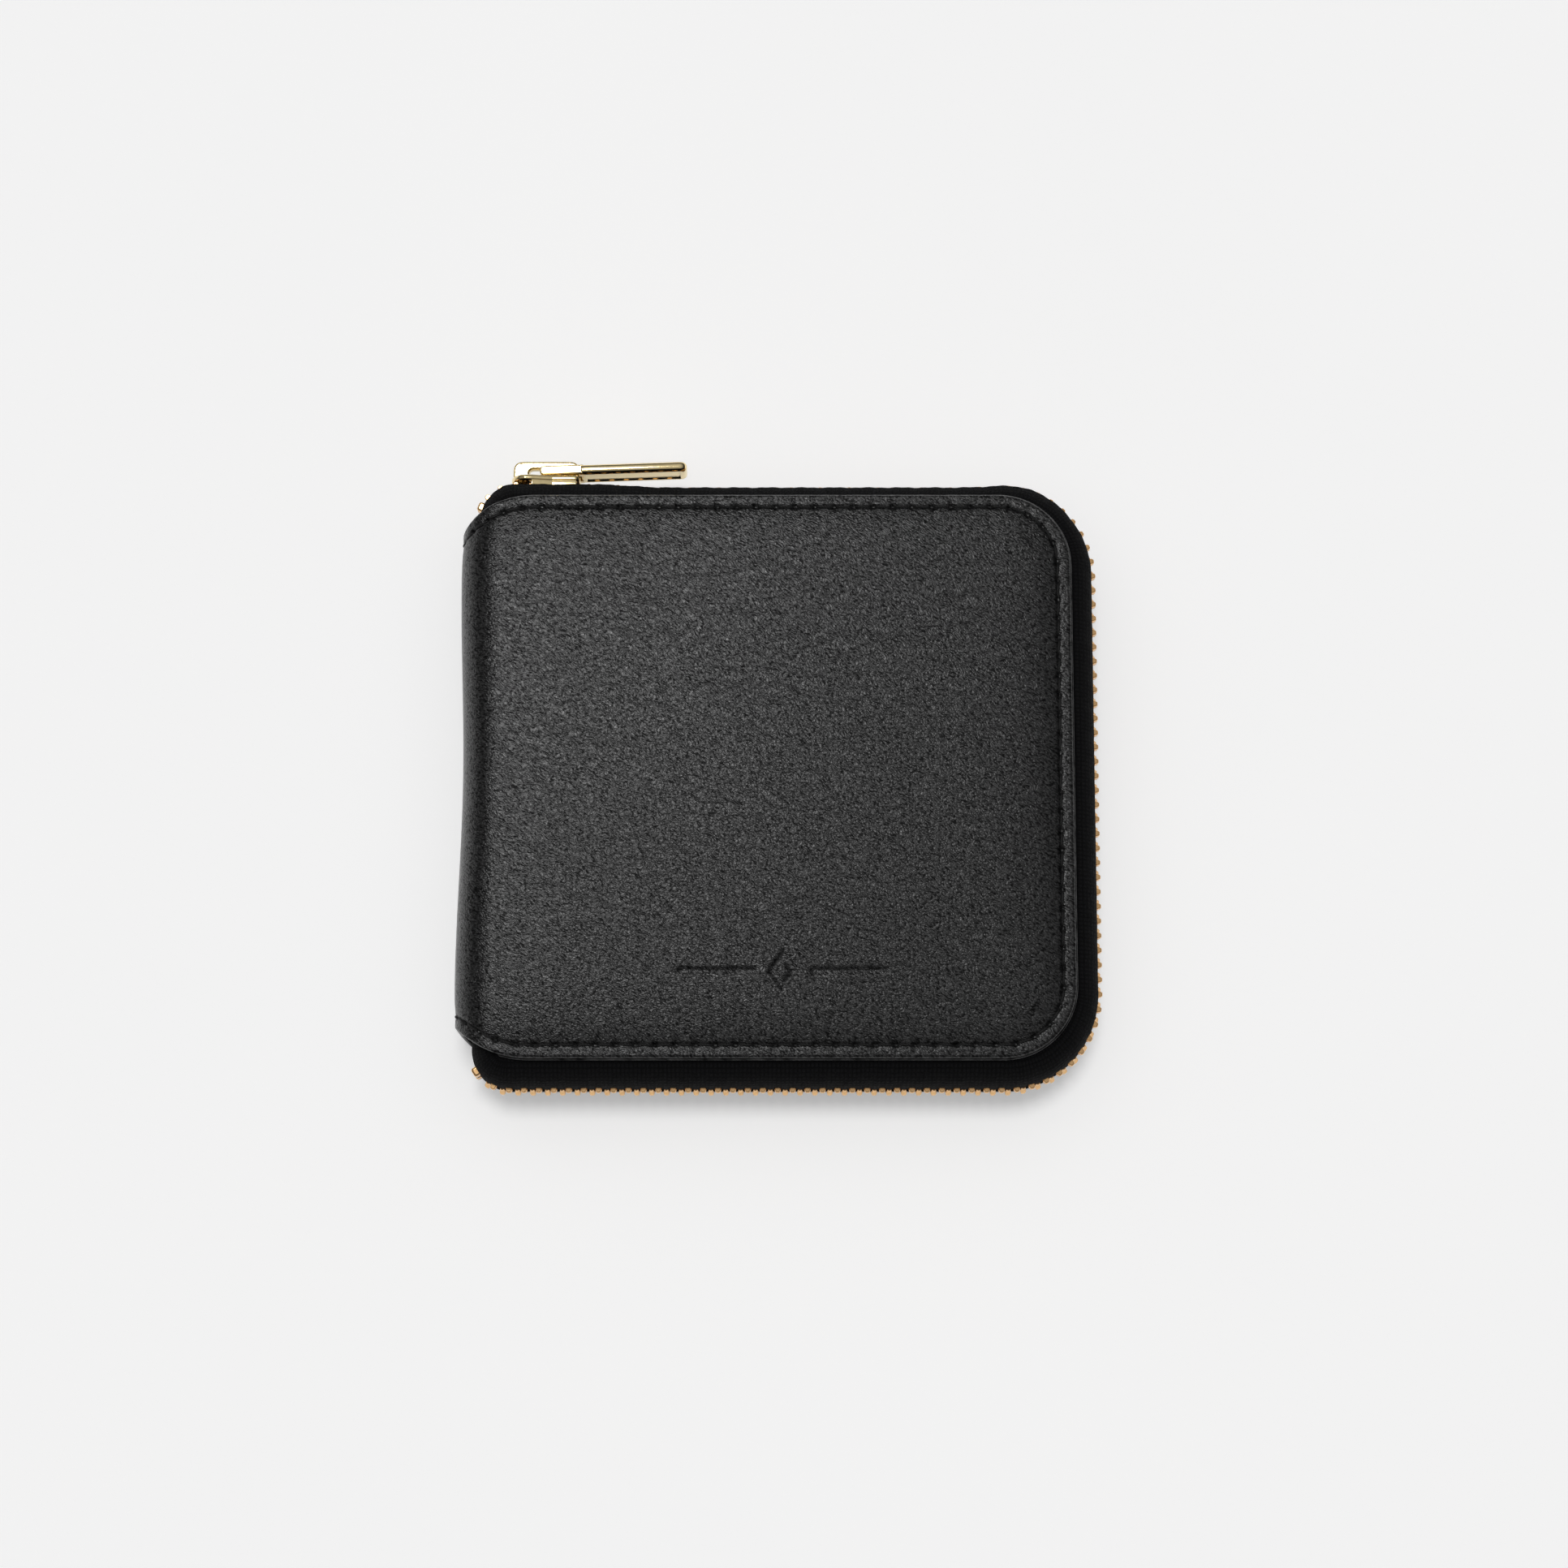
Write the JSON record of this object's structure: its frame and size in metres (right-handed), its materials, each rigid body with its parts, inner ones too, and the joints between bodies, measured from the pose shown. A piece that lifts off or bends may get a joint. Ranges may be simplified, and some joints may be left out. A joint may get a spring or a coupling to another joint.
{
  "type": "zip around wallet",
  "caption": "Compact leather wallet closed on three sides by a metal zip, with a folding spine, stepped card slots and a zipped coin pocket inside.",
  "frame": {"origin": "middle of the wallet's footprint on the back cover's outside face", "axes": "+X from the spine to the zip side, +Y along the spine towards the slider's side, +Z from the back cover to the front cover"},
  "size_m": [0.1092, 0.1102, 0.022],
  "materials": {
    "outer_leather": "smooth, fine pebbled grain, satin",
    "inner_leather": "smooth, matte",
    "stiffener": "painted edge, satin",
    "lining": "fine woven, matte",
    "thread": "waxed thread, satin",
    "zip_tape": "woven, matte",
    "zip_brass": "polished",
    "zip_gold": "polished pale gold plate"
  },
  "bodies": {
    "back": {"cover_back": "outer_leather", "stiffener_back": "stiffener", "lining_back": "lining", "seam_thread_back": "thread", "zip_tape_back": "zip_tape", "zip_teeth_back": "zip_brass", "zip_top_stop_back": "zip_brass", "zip_bottom_stop": "zip_brass", "note_panel": "inner_leather", "coin_bag": "lining", "coin_panel": "inner_leather", "coin_tape_left": "zip_tape", "coin_tape_right": "zip_tape", "coin_teeth_left": "zip_brass", "coin_teeth_right": "zip_brass", "coin_end_stops": "zip_brass"},
    "spine": {"cover_spine": "outer_leather", "lining_spine": "lining", "seam_thread_spine": "thread"},
    "front": {"cover_front": "outer_leather", "stiffener_front": "stiffener", "lining_front": "lining", "seam_thread_front": "thread", "zip_tape_front": "zip_tape", "zip_teeth_front": "zip_brass", "zip_top_stop_front": "zip_brass", "card_backing": "inner_leather", "card_slot_1": "inner_leather", "card_slot_2": "inner_leather", "card_slot_3": "inner_leather", "card_slot_4": "inner_leather"},
    "slider": {"zip_slider": "zip_gold"},
    "pull": {"zip_pull": "zip_gold"},
    "coin_slider": {"coin_slider": "zip_gold"},
    "coin_pull": {"coin_pull": "zip_gold"}
  },
  "joints": [
    {"name": "back_fold", "type": "hinge", "parent": "back", "child": "spine", "pos_m": [-0.0531, 0, 0.0015], "axis": [0, -1, 0], "range_deg": [0, 90], "deforming": ["zip_tape_back", "zip_teeth_back", "zip_bottom_stop"]},
    {"name": "front_fold", "type": "hinge", "parent": "spine", "child": "front", "pos_m": [-0.0531, 0, 0.0205], "axis": [0, -1, 0], "range_deg": [0, 90], "deforming": ["zip_tape_front", "zip_teeth_front"]},
    {"name": "slider_slide", "type": "slide", "parent": "back", "child": "slider", "axis": [1, 0, 0], "range_m": [0, 0.07], "deforming": ["zip_tape_back", "zip_tape_front", "zip_teeth_back", "zip_teeth_front"]},
    {"name": "pull_swing", "type": "hinge", "parent": "slider", "child": "pull", "pos_m": [-0.04055, 0.05465, 0.011], "axis": [0, 0, 1], "range_deg": [0, 165]},
    {"name": "coin_slide", "type": "slide", "parent": "back", "child": "coin_slider", "axis": [0, -1, 0], "range_m": [0, 0.055], "deforming": ["coin_teeth_left", "coin_teeth_right", "coin_tape_left", "coin_tape_right"]},
    {"name": "coin_pull_swing", "type": "hinge", "parent": "coin_slider", "child": "coin_pull", "pos_m": [-0.0246, 0.02916, 0.00906], "axis": [-1, 0, 0], "range_deg": [0, 165]}
  ],
  "couplings": [
    {"joint": "front_fold", "follows": "back_fold", "ratio": 1}
  ]
}
